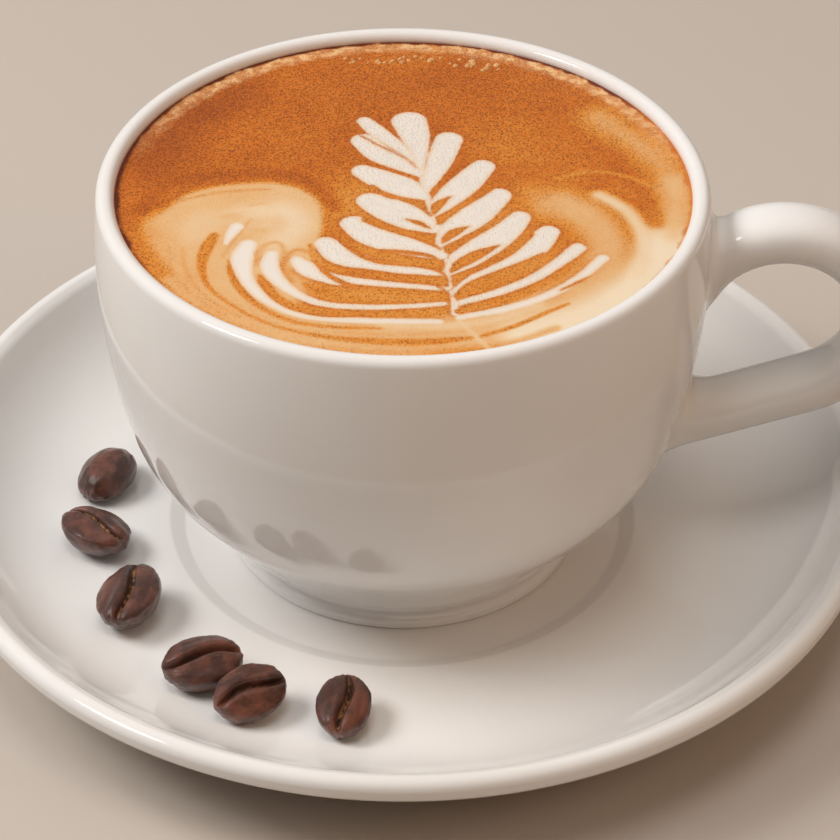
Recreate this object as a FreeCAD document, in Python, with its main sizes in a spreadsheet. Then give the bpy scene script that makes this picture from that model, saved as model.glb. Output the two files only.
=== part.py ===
"""Latte in a round porcelain cup on its saucer, with six roasted coffee beans lying on the saucer.

Millimetres, +Z up. The origin is the centre of the saucer's foot ring, on the table, and the handle
points along +X. The sheet "Sizes" drives every piece. The cup's and the drink's own heights count
from the saucer's well floor, where the cup stands.
"""

import FreeCAD, Part
import math
import os

import Sketcher
from FreeCAD import Placement, Rotation, Vector

SIZES = {
    # saucer: radii, and heights above the table; the crease is where its side turns into its rim
    "saucer_radius": 74.3,
    "saucer_edge_height": 19.0,
    "saucer_edge_thickness": 4.0,
    "saucer_edge_round": 1.6,
    "saucer_rim_width": 3.4,
    "saucer_rim_rise": 1.8,
    "saucer_crease_round": 3.0,
    "saucer_floor_height": 5.5,
    "saucer_floor_width": 12.1,
    "saucer_thickness": 3.6,
    "saucer_foot_radius": 42.0,
    "saucer_foot_width": 4.5,
    "saucer_recess": 1.4,
    "well_margin": 9.2,
    "well_slope_width": 2.4,
    "well_depth": 0.9,
    "well_round": 1.0,
    # cup: radii, and heights above the well floor
    "cup_height": 63.8,
    "belly_radius": 45.9,
    "belly_drop": 12.9,
    "side_extra": 1.2,
    "turn_curve": 25.0,
    "underside_angle": 38.0,
    "waist_step": 1.0,
    "waist_height": 2.6,
    "cup_foot_radius": 28.2,
    "cup_foot_height": 1.5,
    "cup_foot_width": 3.2,
    "cup_foot_recess": 1.6,
    "cup_foot_round": 0.5,
    "cup_wall": 2.8,
    "cup_rim_round": 1.25,
    "cup_floor_height": 5.2,
    "cup_floor_radius": 20.0,
    # handle: a bar bent round a circle, then straight to the cup at both ends
    "handle_standoff": 11.3,
    "handle_drop": 20.6,
    "handle_bend": 14.1,
    "handle_start_angle": 60.0,
    "handle_end_angle": 22.0,
    "handle_root_reach": 5.3,
    "handle_width": 10.2,
    "handle_thickness": 7.7,
    "handle_fillet": 2.6,
    # drink
    "drink_below_rim": 1.6,
    # a typical roasted bean: its round back and its nearly flat face meet at the widest outline
    "bean_length": 11.6,
    "bean_width": 8.9,
    "bean_back": 3.9,
    "bean_face": 1.6,
    "crease_length": 10.2,
    "crease_width": 0.9,
    "crease_depth": 1.4,
}

# Values that pieces share, each worked out from the sizes above.
SHARED = {
    "well_radius": "cup_foot_radius + well_margin",
    "well_height": "saucer_floor_height - well_depth",
    "saucer_floor_radius": "well_radius + saucer_floor_width",
    "saucer_crease_radius": "saucer_radius - saucer_rim_width",
    "saucer_crease_height": "saucer_edge_height - saucer_rim_rise",
    "waist_radius": "cup_foot_radius - waist_step",
    "belly_height": "cup_height - belly_drop",
    "side_curve": "2 * belly_height + side_extra",
    "drink_level": "cup_height - drink_below_rim",
    "handle_centre_radius": "belly_radius + handle_standoff",
    "handle_centre_height": "cup_height - handle_drop",
    "handle_root_radius": "waist_radius + handle_root_reach",
}

# Each bean: where it lies round the saucer (degrees) and out from the well's edge, which way its length
# points, how far it is rolled about its length and tipped end up (degrees), and its size beside the
# typical one. A bean rolled by 180 degrees lies crease down.
BEANS = [
    {"azimuth": 178, "from_well": 10.7, "heading": 70, "roll": 172, "tip": 4, "scale": 1.00},
    {"azimuth": 196, "from_well": 11.9, "heading": 150, "roll": 10, "tip": 3, "scale": 1.02},
    {"azimuth": 216, "from_well": 11.9, "heading": 83, "roll": -12, "tip": 2, "scale": 1.10},
    {"azimuth": 238, "from_well": 13.0, "heading": 18, "roll": 8, "tip": 2, "scale": 1.04},
    {"azimuth": 249, "from_well": 15.1, "heading": 34, "roll": 24, "tip": 3, "scale": 0.97},
    {"azimuth": 264.3, "from_well": 12.8, "heading": 88, "roll": 4, "tip": 10, "scale": 0.92},
]

FIRST, LAST, CENTRE = 1, 2, 3  # a sketch piece's start, end and centre
ORIGIN = (-1, 1)

doc = FreeCAD.newDocument("latte")
sheet = doc.addObject("Spreadsheet::Sheet", "Sizes")
for row, (alias, value) in enumerate(SIZES.items(), start=1):
    sheet.set(f"A{row}", alias)
    sheet.set(f"B{row}", str(value))
    sheet.setAlias(f"B{row}", alias)
for row, (alias, formula) in enumerate(SHARED.items(), start=len(SIZES) + 1):
    sheet.set(f"A{row}", alias)
    sheet.set(f"B{row}", f"={formula}")
    sheet.setAlias(f"B{row}", alias)
doc.recompute()


def size(alias):
    return float(sheet.get(alias))


# ---- sketches ------------------------------------------------------------------------------------
def new_body(name):
    body = doc.addObject("PartDesign::Body", name)
    body.Label = name
    return body


def new_sketch(body, name, role="XZ_Plane"):
    plane = next(f for f in body.Origin.OriginFeatures if f.Role == role)
    sketch = body.newObject("Sketcher::SketchObject", name)
    sketch.AttachmentSupport = (plane, [""])
    sketch.MapMode = "FlatFace"
    return sketch


def add_line(sketch, start, end):
    return sketch.addGeometry(Part.LineSegment(Vector(*start, 0), Vector(*end, 0)), False)


def add_arc(sketch, centre, start, end):
    """An arc that runs counter-clockwise from start to end about centre."""
    radius = math.dist(centre, start)
    angles = [math.atan2(p[1] - centre[1], p[0] - centre[0]) for p in (start, end)]
    circle = Part.Circle(Vector(*centre, 0), Vector(0, 0, 1), radius)
    return sketch.addGeometry(Part.ArcOfCircle(circle, *angles), False)


def rule(sketch, kind, *which):
    sketch.addConstraint(Sketcher.Constraint(kind, *which))


def bind(sketch, kind, expression, *which):
    """A dimension that follows the sheet. The sketch is drawn at its true size, so its value is measured."""
    number = sketch.addConstraint(Sketcher.Constraint(kind, *which, measured(sketch, kind, which)))
    sketch.setExpression(f"Constraints[{number}]", expression)


def measured(sketch, kind, which):
    if kind == "Radius":
        return sketch.Geometry[which[0]].Radius
    if kind == "Distance":
        return sketch.Geometry[which[0]].length()
    if kind == "Angle":
        piece = sketch.Geometry[which[0]]
        span = piece.EndPoint - piece.StartPoint
        return math.atan2(span.y, span.x)
    start, end = sketch.getPoint(*which[:2]), sketch.getPoint(*which[2:])
    return end.x - start.x if kind == "DistanceX" else end.y - start.y


def pin(sketch, piece, point, across=None, up=None):
    """Ties a point to the sketch's origin: each of across and up is an expression, or "0" for the axis."""
    for kind, expression, axis in (("DistanceX", across, -2), ("DistanceY", up, -1)):
        if expression == "0":
            rule(sketch, "PointOnObject", piece, point, axis)
        elif expression is not None:
            bind(sketch, kind, expression, *ORIGIN, piece, point)


def draw_lines(sketch, corners):
    """Straight runs through corners, each ((x, y), across, up), with every corner tied to the sheet."""
    pieces = [add_line(sketch, a[0], b[0]) for a, b in zip(corners, corners[1:])]
    for piece, corner in zip(pieces, corners):
        pin(sketch, piece, FIRST, *corner[1:])
    for before, after in zip(pieces, pieces[1:]):
        rule(sketch, "Coincident", before, LAST, after, FIRST)
    return pieces


def revolve(body, sketch, kind="PartDesign::Revolution", name="Turned"):
    feature = body.newObject(kind, name)
    feature.Profile = sketch
    feature.ReferenceAxis = (sketch, ["V_Axis"])
    feature.Angle = 360
    doc.recompute()
    return feature


def round_edges(body, edges, expression, name):
    """Fillets the tip's edges that the test picks."""
    base = body.Tip
    picked = [f"Edge{n}" for n, edge in enumerate(base.Shape.Edges, start=1) if edges(edge)]
    feature = body.newObject("PartDesign::Fillet", name)
    feature.Base = (base, picked)
    feature.setExpression("Radius", expression)
    doc.recompute()
    return feature


def ring_at(radius, height):
    """A test for the full circle of that radius and height about the axis."""

    def test(edge):
        if not isinstance(edge.Curve, Part.Circle):
            return False
        centre = edge.Curve.Center
        on_axis = math.hypot(centre.x, centre.y) < 1e-4
        return on_axis and abs(edge.Curve.Radius - radius) < 1e-3 and abs(centre.z - height) < 1e-3

    return test


def any_of(*tests):
    return lambda edge: any(test(edge) for test in tests)


def tangent_point(centre, radius, outside, side):
    """Where a straight line from the outside point touches the circle; side is 1 or -1."""
    reach = math.dist(centre, outside)
    towards = math.atan2(outside[1] - centre[1], outside[0] - centre[0])
    angle = towards + side * math.acos(radius / reach)
    return centre[0] + radius * math.cos(angle), centre[1] + radius * math.sin(angle)


# ---- saucer --------------------------------------------------------------------------------------
def make_saucer():
    body = new_body("saucer")
    sketch = new_sketch(body, "SaucerOutline")
    floor = (size("saucer_floor_radius"), size("saucer_floor_height"))
    crease = (size("saucer_crease_radius"), size("saucer_crease_height"))
    across, up = crease[0] - floor[0], crease[1] - floor[1]
    sweep = (across**2 + up**2) / (2 * up)
    centre = (floor[0], floor[1] + sweep)
    under_radius = sweep + size("saucer_thickness")
    edge_top = (size("saucer_radius"), size("saucer_edge_height"))
    edge_low = (edge_top[0], edge_top[1] - size("saucer_edge_thickness"))
    under_start = (floor[0], floor[1] - size("saucer_thickness"))
    under_end = tangent_point(centre, under_radius, edge_low, -1)
    foot, inner = size("saucer_foot_radius"), size("saucer_foot_radius") - size("saucer_foot_width")
    well, slope = size("well_radius"), size("well_slope_width")

    under_height = "Sizes.saucer_floor_height - Sizes.saucer_thickness"
    inner_text = "Sizes.saucer_foot_radius - Sizes.saucer_foot_width"
    lower = draw_lines(sketch, [
        ((0, size("saucer_recess")), "0", "Sizes.saucer_recess"),
        ((inner, size("saucer_recess")), inner_text, "Sizes.saucer_recess"),
        ((inner, 0), inner_text, "0"),
        ((foot, 0), "Sizes.saucer_foot_radius", "0"),
        ((foot, under_start[1]), "Sizes.saucer_foot_radius", under_height),
        (under_start, None, None),
    ])
    under = add_arc(sketch, centre, under_start, under_end)
    upper = draw_lines(sketch, [
        (under_end, None, None),
        (edge_low, "Sizes.saucer_radius", "Sizes.saucer_edge_height - Sizes.saucer_edge_thickness"),
        (edge_top, "Sizes.saucer_radius", "Sizes.saucer_edge_height"),
        (crease, "Sizes.saucer_crease_radius", "Sizes.saucer_crease_height"),
    ])
    sweep_arc = add_arc(sketch, centre, floor, crease)
    inside = draw_lines(sketch, [
        (floor, "Sizes.saucer_floor_radius", "Sizes.saucer_floor_height"),
        ((well, floor[1]), "Sizes.well_radius", "Sizes.saucer_floor_height"),
        ((well - slope, size("well_height")), "Sizes.well_radius - Sizes.well_slope_width",
         "Sizes.well_height"),
        ((0, size("well_height")), "0", "Sizes.well_height"),
        ((0, size("saucer_recess")), None, None),
    ])
    rule(sketch, "Coincident", inside[-1], LAST, lower[0], FIRST)
    rule(sketch, "Tangent", lower[-1], LAST, under, FIRST)
    rule(sketch, "Tangent", under, LAST, upper[0], FIRST)
    rule(sketch, "Coincident", upper[-1], LAST, sweep_arc, LAST)
    rule(sketch, "Tangent", sweep_arc, FIRST, inside[0], FIRST)
    rule(sketch, "Coincident", under, CENTRE, sweep_arc, CENTRE)
    pin(sketch, lower[-1], LAST, up=under_height)
    pin(sketch, upper[-1], LAST, "Sizes.saucer_crease_radius", "Sizes.saucer_crease_height")
    revolve(body, sketch)
    round_edges(body, any_of(ring_at(*edge_top), ring_at(*edge_low)),
                "Sizes.saucer_edge_round", "EdgeRound")
    round_edges(body, ring_at(*crease), "Sizes.saucer_crease_round", "CreaseRound")
    round_edges(body, any_of(ring_at(well, floor[1]), ring_at(well - slope, size("well_height"))),
                "Sizes.well_round", "WellRound")
    return body


# ---- cup -----------------------------------------------------------------------------------------
def side_points(inset, start, direction):
    """The tangent chain of a cup wall: a straight underside, the turn and the long side, all moved in by
    inset. Returns the turn's centre and where the underside meets it and where it meets the side."""
    side_centre = (size("belly_radius") - size("side_curve"), size("belly_height"))
    side, turn = size("side_curve") - inset, size("turn_curve") - inset
    left = (-direction[1], direction[0])
    base = (start[0] + turn * left[0], start[1] + turn * left[1])
    gap = (base[0] - side_centre[0], base[1] - side_centre[1])
    along = gap[0] * direction[0] + gap[1] * direction[1]
    rest = math.hypot(*gap) ** 2 - (side - turn) ** 2
    travel = -along + math.sqrt(along**2 - rest)
    turn_centre = (base[0] + travel * direction[0], base[1] + travel * direction[1])
    low = (start[0] + travel * direction[0], start[1] + travel * direction[1])
    reach = math.dist(side_centre, turn_centre)
    high = tuple(c + (t - c) * side / reach for c, t in zip(side_centre, turn_centre))
    return side_centre, turn_centre, low, high


def side_at(side_centre, radius, height):
    return side_centre[0] + math.sqrt(radius**2 - (height - side_centre[1]) ** 2), height


def draw_wall(sketch, inset_text, inset, start, top, top_text):
    """Underside line, turn and side of a wall that stands inset inside the cup's outside."""
    angle = math.radians(90 - size("underside_angle"))
    direction = (math.cos(angle), math.sin(angle))
    side_centre, turn_centre, low, high = side_points(inset, start, direction)
    rim = side_at(side_centre, size("side_curve") - inset, top)
    underside = add_line(sketch, start, low)
    turn = add_arc(sketch, turn_centre, low, high)
    side = add_arc(sketch, side_centre, high, rim)
    rule(sketch, "Tangent", underside, LAST, turn, FIRST)
    rule(sketch, "Tangent", turn, LAST, side, FIRST)
    bind(sketch, "Angle", "90 deg - Sizes.underside_angle * 1 deg", underside)
    bind(sketch, "Radius", f"Sizes.turn_curve{inset_text}", turn)
    bind(sketch, "Radius", f"Sizes.side_curve{inset_text}", side)
    bind(sketch, "DistanceX", "Sizes.side_curve - Sizes.belly_radius", side, CENTRE, *ORIGIN)
    bind(sketch, "DistanceY", "Sizes.belly_height", *ORIGIN, side, CENTRE)
    pin(sketch, side, LAST, up=top_text)
    return underside, side, rim


def draw_cavity(sketch, top, top_text):
    """The inside of the cup from its floor up to top, closed along the axis."""
    floor = (size("cup_floor_radius"), size("cup_floor_height"))
    underside, side, rim = draw_wall(sketch, " - Sizes.cup_wall", size("cup_wall"), floor, top, top_text)
    lines = draw_lines(sketch, [
        (rim, None, None),
        ((0, top), "0", top_text),
        ((0, floor[1]), "0", "Sizes.cup_floor_height"),
        (floor, None, None),
    ])
    rule(sketch, "Coincident", side, LAST, lines[0], FIRST)
    rule(sketch, "Coincident", lines[-1], LAST, underside, FIRST)
    pin(sketch, underside, FIRST, "Sizes.cup_floor_radius", "Sizes.cup_floor_height")


def make_cup():
    body = new_body("cup")
    sketch = new_sketch(body, "CupOutline")
    foot, height = size("cup_foot_radius"), size("cup_foot_height")
    inner, recess = foot - size("cup_foot_width"), size("cup_foot_recess")
    waist = (size("waist_radius"), size("waist_height"))
    top = size("cup_height")
    inner_text = "Sizes.cup_foot_radius - Sizes.cup_foot_width"
    base = draw_lines(sketch, [
        ((0, recess), "0", "Sizes.cup_foot_recess"),
        ((inner, recess), inner_text, "Sizes.cup_foot_recess"),
        ((inner, 0), inner_text, "0"),
        ((foot, 0), "Sizes.cup_foot_radius", "0"),
        ((foot, height), "Sizes.cup_foot_radius", "Sizes.cup_foot_height"),
        (waist, None, None),
    ])
    underside, side, rim = draw_wall(sketch, "", 0, waist, top, "Sizes.cup_height")
    lid = draw_lines(sketch, [
        (rim, None, None),
        ((0, top), "0", "Sizes.cup_height"),
        ((0, recess), None, None),
    ])
    rule(sketch, "Coincident", base[-1], LAST, underside, FIRST)
    rule(sketch, "Coincident", side, LAST, lid[0], FIRST)
    rule(sketch, "Coincident", lid[-1], LAST, base[0], FIRST)
    pin(sketch, underside, FIRST, "Sizes.waist_radius", "Sizes.waist_height")
    revolve(body, sketch)
    outside = body.Tip.Shape.copy()
    round_edges(body, any_of(ring_at(foot, 0), ring_at(foot, height)), "Sizes.cup_foot_round", "FootRound")

    add_handle(body)
    round_edges(body, handle_joint(outside), "Sizes.handle_fillet", "HandleFillet")

    hollow = new_sketch(body, "CupHollow")
    draw_cavity(hollow, top, "Sizes.cup_height")
    revolve(body, hollow, "PartDesign::Groove", "Hollow")
    rim_inside = side_at((size("belly_radius") - size("side_curve"), size("belly_height")),
                         size("side_curve") - size("cup_wall"), top)
    round_edges(body, any_of(ring_at(*rim), ring_at(*rim_inside)), "Sizes.cup_rim_round", "RimRound")
    body.setExpression("Placement.Base.z", "Sizes.well_height")
    doc.recompute()
    return body


def add_handle(body):
    """The handle's bar, from inside the cup's wall round the bend and back into the wall."""
    path = new_sketch(body, "HandlePath")
    centre = (size("handle_centre_radius"), size("handle_centre_height"))
    bend = size("handle_bend")
    start_angle = math.radians(size("handle_start_angle"))
    end_angle = math.radians(size("handle_end_angle"))
    high = (centre[0] - bend * math.sin(start_angle), centre[1] + bend * math.cos(start_angle))
    low = (centre[0] + bend * math.sin(end_angle), centre[1] - bend * math.cos(end_angle))
    root = size("handle_root_radius")
    first = (root, high[1] - (high[0] - root) * math.tan(start_angle))
    last = (root, low[1] - (low[0] - root) * math.tan(end_angle))
    upper = add_line(path, first, high)
    arc = add_arc(path, centre, low, high)
    lower = add_line(path, last, low)
    rule(path, "Tangent", upper, LAST, arc, LAST)
    rule(path, "Tangent", lower, LAST, arc, FIRST)
    bind(path, "Angle", "Sizes.handle_start_angle * 1 deg", upper)
    bind(path, "Angle", "Sizes.handle_end_angle * 1 deg", lower)
    bind(path, "Radius", "Sizes.handle_bend", arc)
    pin(path, arc, CENTRE, "Sizes.handle_centre_radius", "Sizes.handle_centre_height")
    for piece in (upper, lower):
        pin(path, piece, FIRST, "Sizes.handle_root_radius")
    doc.recompute()

    section = body.newObject("Sketcher::SketchObject", "HandleSection")
    section.AttachmentSupport = (path, ["Edge1"])
    section.MapMode = "NormalToEdge"
    section.MapPathParameter = 0
    oval(section, "handle_width", "handle_thickness")
    doc.recompute()
    pipe = body.newObject("PartDesign::AdditivePipe", "Handle")
    pipe.Profile = section
    pipe.Spine = path
    pipe.Transition = "Transformed"
    doc.recompute()
    return pipe


def oval(sketch, wide, tall):
    """An oval about the sketch's origin, wide along its x and tall along its y."""
    half_wide, half_tall = size(wide) / 2, size(tall) / 2
    ring = sketch.addGeometry(Part.Ellipse(Vector(0, 0, 0), half_wide, half_tall), False)
    rule(sketch, "Coincident", ring, CENTRE, *ORIGIN)
    sketch.exposeInternalGeometry(ring)
    long_axis, short_axis = ring + 1, ring + 2
    rule(sketch, "Horizontal", long_axis)
    bind(sketch, "Distance", f"Sizes.{wide}", long_axis)
    bind(sketch, "Distance", f"Sizes.{tall}", short_axis)


def handle_joint(outside):
    """A test for the edges where the handle runs into the cup's outside."""
    shell = outside.Shells[0]
    old = [edge for edge in outside.Edges]

    def test(edge):
        points = edge.discretize(5)[1:-1]
        touching = all(shell.distToShape(Part.Vertex(p))[0] < 0.01 for p in points)
        if not touching or min(p.x for p in points) < size("waist_radius"):
            return False
        return all(min(part.distToShape(Part.Vertex(p))[0] for part in old) > 0.02 for p in points[:1])

    return test


# ---- drink ---------------------------------------------------------------------------------------
def make_latte():
    body = new_body("latte")
    sketch = new_sketch(body, "DrinkOutline")
    draw_cavity(sketch, size("drink_level"), "Sizes.drink_level")
    revolve(body, sketch)
    body.setExpression("Placement.Base.z", "Sizes.well_height")
    doc.recompute()
    return body


# ---- beans ---------------------------------------------------------------------------------------
def half_ellipsoid(name, low, high, thickness, scale):
    half = doc.addObject("Part::Ellipsoid", name)
    half.setExpression("Radius1", f"Sizes.{thickness} * {scale}")
    half.setExpression("Radius2", f"Sizes.bean_length / 2 * {scale}")
    half.setExpression("Radius3", f"Sizes.bean_width / 2 * {scale}")
    half.Angle1, half.Angle2 = low, high
    return half


def make_bean(number, bean, saucer):
    name, scale = f"bean_{number}", bean["scale"]
    back = half_ellipsoid(f"{name}_back", -90, 0, "bean_back", scale)
    face = half_ellipsoid(f"{name}_face", 0, 90, "bean_face", scale)
    whole = doc.addObject("Part::Fuse", f"{name}_whole")
    whole.Base, whole.Tool = back, face
    blade = doc.addObject("Part::Ellipsoid", f"{name}_blade")
    blade.setExpression("Radius1", f"Sizes.crease_depth * {scale}")
    blade.setExpression("Radius2", f"Sizes.crease_length / 2 * {scale}")
    blade.setExpression("Radius3", f"Sizes.crease_width / 2 * {scale}")
    blade.setExpression("Placement.Base.z", f"Sizes.bean_face * {scale}")
    cut = doc.addObject("Part::Cut", name)
    cut.Base, cut.Tool = whole, blade
    cut.Label = name
    doc.recompute()
    angle = math.radians(bean["azimuth"])
    distance = size("well_radius") + bean["from_well"]
    above = size("saucer_edge_height") + size("bean_length")
    spot = Vector(distance * math.cos(angle), distance * math.sin(angle), above)
    turn = Rotation(bean["heading"], -bean["tip"], bean["roll"])
    cut.Placement = Placement(spot, turn)
    seat(cut, saucer)
    return cut


def seat(bean, saucer):
    """Lowers the bean until it touches the saucer."""
    clearance = 0.01
    for _ in range(12):
        gap = bean.Shape.distToShape(saucer.Shape)[0]
        if gap <= 2 * clearance:
            break
        spot = bean.Placement
        spot.Base.z -= gap - clearance
        bean.Placement = spot
        doc.recompute()


# ---- build, check, write --------------------------------------------------------------------------
saucer = make_saucer()
pieces = [saucer, make_cup(), make_latte()]
pieces += [make_bean(number, bean, saucer) for number, bean in enumerate(BEANS, start=1)]
doc.recompute()

failed = [o.Name for o in doc.Objects if "Invalid" in o.State or "Error" in o.State]
failed += [o.Label for o in pieces if o.Shape.isNull() or not o.Shape.isValid()]
if failed:
    raise SystemExit(f"these failed: {failed}")

os.makedirs("parts", exist_ok=True)
for piece in pieces:
    piece.Shape.exportStep(f"parts/{piece.Label}.step")
    box = piece.Shape.optimalBoundingBox(False)
    print(f"{piece.Label}: {len(piece.Shape.Solids)} solid, {piece.Shape.Volume / 1000:.2f} cm3,",
          f"z {box.ZMin:.2f} to {box.ZMax:.2f}, reaches {box.XMax:.1f} along X")
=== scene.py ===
import math
import random

import bmesh
import bpy
import numpy as np
from mathutils import Matrix, Vector, noise


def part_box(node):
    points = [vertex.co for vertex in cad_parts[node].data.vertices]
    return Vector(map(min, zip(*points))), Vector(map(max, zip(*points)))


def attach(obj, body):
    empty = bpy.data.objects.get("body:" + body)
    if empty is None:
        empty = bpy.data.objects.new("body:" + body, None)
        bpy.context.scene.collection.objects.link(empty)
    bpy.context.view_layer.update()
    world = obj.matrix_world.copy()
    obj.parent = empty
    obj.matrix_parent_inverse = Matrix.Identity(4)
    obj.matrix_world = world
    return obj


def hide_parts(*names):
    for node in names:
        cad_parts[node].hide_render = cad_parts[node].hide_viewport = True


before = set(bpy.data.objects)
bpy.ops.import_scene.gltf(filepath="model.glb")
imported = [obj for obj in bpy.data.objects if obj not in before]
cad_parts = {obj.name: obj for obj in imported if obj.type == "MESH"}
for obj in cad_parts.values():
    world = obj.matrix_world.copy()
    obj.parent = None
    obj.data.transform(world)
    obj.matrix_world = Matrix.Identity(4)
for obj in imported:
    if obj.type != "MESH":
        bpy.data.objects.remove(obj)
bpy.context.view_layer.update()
mm = 0.001
random.seed(11)
print("frame loaded:", sorted(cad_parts))


# helpers for meshes
def asPiece(name, bm, material, smooth=True):
    mesh = bpy.data.meshes.new(name)
    bm.to_mesh(mesh)
    bm.free()
    if smooth:
        mesh.shade_smooth()
    else:
        mesh.shade_flat()
    piece = bpy.data.objects.new(name, mesh)
    bpy.context.collection.objects.link(piece)
    mesh.materials.append(material)
    return piece


def arc(centre, radius, first, last, steps):
    angles = [math.radians(first + (last - first) * k / steps) for k in range(steps + 1)]
    return [(centre[0] + radius * math.cos(a), centre[1] + radius * math.sin(a)) for a in angles]


def softCorner(before, corner, after, radius, steps):
    # the arc that rounds a corner between two straight runs
    toBefore = (Vector(before) - Vector(corner)).normalized()
    toAfter = (Vector(after) - Vector(corner)).normalized()
    half = toBefore.angle(toAfter) / 2
    middle = Vector(corner) + (toBefore + toAfter).normalized() * radius / math.sin(half)
    first = Vector(corner) + toBefore * radius / math.tan(half)
    last = Vector(corner) + toAfter * radius / math.tan(half)
    points = []
    for k in range(steps + 1):
        towards = (first - middle).lerp(last - middle, k / steps).normalized()
        points.append(tuple(middle + towards * radius))
    return points


def turnedSolid(name, outline, material, steps):
    # spins an outline of (radius, height) in mm about Z into a closed solid
    bm = bmesh.new()
    verts = [bm.verts.new((r * mm, 0, z * mm)) for r, z in outline]
    edges = [bm.edges.new(pair) for pair in zip(verts, verts[1:])]
    bmesh.ops.spin(bm, geom=verts + edges, cent=(0, 0, 0), axis=(0, 0, 1), angle=2 * math.pi,
                   steps=steps, use_merge=True)
    bmesh.ops.remove_doubles(bm, verts=bm.verts, dist=0.00001)
    bmesh.ops.recalc_face_normals(bm, faces=bm.faces)
    return asPiece(name, bm, material)


# helpers for materials
def newMaterial(name):
    material = bpy.data.materials.new(name)
    material.use_nodes = True
    tree = material.node_tree
    return material, tree, tree.nodes["Principled BSDF"]


def addNode(tree, kind, settings=None, inputs=None):
    # makes a node; an input is a value, or a socket that it is linked from
    made = tree.nodes.new(kind)
    for key, value in (settings or {}).items():
        setattr(made, key, value)
    for key, value in (inputs or {}).items():
        if isinstance(value, bpy.types.NodeSocket):
            tree.links.new(value, made.inputs[key])
        else:
            made.inputs[key].default_value = value
    return made


def attribute(tree, name):
    return addNode(tree, "ShaderNodeAttribute", {"attribute_name": name}).outputs["Fac"]


def calc(tree, operation, first, second=0.0, clamp=False):
    return addNode(tree, "ShaderNodeMath", {"operation": operation, "use_clamp": clamp},
                   {0: first, 1: second}).outputs[0]


def ramp(tree, value, start, end):
    # 0 at start, 1 at end and past it; start may be the larger
    return addNode(tree, "ShaderNodeMapRange", {"interpolation_type": "SMOOTHSTEP"},
                   {"Value": value, "From Min": start, "From Max": end}).outputs["Result"]


def blend(tree, amount, first, second):
    # the first colour where amount is 0, the second where it is 1
    made = addNode(tree, "ShaderNodeMix", {"data_type": "RGBA"})
    for key, value in ((0, amount), (6, first), (7, second)):
        if isinstance(value, bpy.types.NodeSocket):
            tree.links.new(value, made.inputs[key])
        else:
            made.inputs[key].default_value = value if key == 0 else (*value, 1)
    return made.outputs[2]


def spread(tree, value, low, high):
    # low where the value is 0, high where it is 1
    return addNode(tree, "ShaderNodeMapRange", None,
                   {"Value": value, "To Min": low, "To Max": high}).outputs["Result"]


def noiseAt(tree, coords, scale, detail=3.0, rough=0.5):
    inputs = {"Vector": coords, "Scale": scale, "Detail": detail, "Roughness": rough}
    return addNode(tree, "ShaderNodeTexNoise", None, inputs).outputs["Fac"]


def centredNoise(tree, coords, scale, detail, rough=0.5):
    return calc(tree, "SUBTRACT", noiseAt(tree, coords, scale, detail, rough), 0.5)


def lyingTowards(tree, coords, way):
    # how far a point lies along the direction way
    return addNode(tree, "ShaderNodeVectorMath", {"operation": "DOT_PRODUCT"},
                   {0: coords, 1: way}).outputs["Value"]


def objectCoords(tree):
    return addNode(tree, "ShaderNodeTexCoord").outputs["Object"]


def bumpOf(tree, height, distance, strength, under=None):
    inputs = {"Height": height, "Distance": distance, "Strength": strength}
    if under is not None:
        inputs["Normal"] = under
    return addNode(tree, "ShaderNodeBump", None, inputs).outputs["Normal"]


# porcelain
glaze = {
    "colour": (0.80, 0.78, 0.76),
    "warmer": (0.77, 0.745, 0.715),
    "cloudScale": 22.0, "waveScale": 38.0, "peelScale": 420.0,
    "roughness": 0.07,
    "pin": (0.45, 0.38, 0.32), "pinScale": 95.0, "pinSize": 0.028,
    "bareClay": (0.72, 0.67, 0.60), "bareRoughness": 0.7,
    "bareBelow": 0.35,   # mm above the table, where the saucer's foot has no glaze
}


def porcelain():
    material, tree, shader = newMaterial("porcelain")
    coords = objectCoords(tree)
    cloud = noiseAt(tree, coords, glaze["cloudScale"], 2.0)
    tint = blend(tree, ramp(tree, cloud, 0.35, 0.7), glaze["colour"], glaze["warmer"])
    pin = addNode(tree, "ShaderNodeTexVoronoi", None,
                  {"Vector": coords, "Scale": glaze["pinScale"]})
    isPin = ramp(tree, pin.outputs["Distance"], glaze["pinSize"], 0.012)
    tint = blend(tree, calc(tree, "MULTIPLY", isPin, 0.25), tint, glaze["pin"])
    height = addNode(tree, "ShaderNodeSeparateXYZ", None, {0: coords}).outputs["Z"]
    bare = ramp(tree, height, glaze["bareBelow"] * mm, glaze["bareBelow"] * 0.6 * mm)
    tree.links.new(blend(tree, bare, tint, glaze["bareClay"]), shader.inputs["Base Color"])
    rough = spread(tree, bare, glaze["roughness"], glaze["bareRoughness"])
    tree.links.new(rough, shader.inputs["Roughness"])
    slow = bumpOf(tree, noiseAt(tree, coords, glaze["waveScale"], 1.0), 0.0004, 0.5)
    peel = noiseAt(tree, coords, glaze["peelScale"], 1.0)
    tree.links.new(bumpOf(tree, peel, 0.00001, 0.5, slow), shader.inputs["Normal"])
    shader.inputs["Specular IOR Level"].default_value = 0.55
    shader.inputs["Coat Weight"].default_value = 0.35
    shader.inputs["Coat Roughness"].default_value = 0.03
    shader.inputs["Subsurface Weight"].default_value = 0.12
    shader.inputs["Subsurface Radius"].default_value = (1.0, 0.8, 0.65)
    shader.inputs["Subsurface Scale"].default_value = 0.0015
    return material


porcelainFinish = porcelain()

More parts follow.
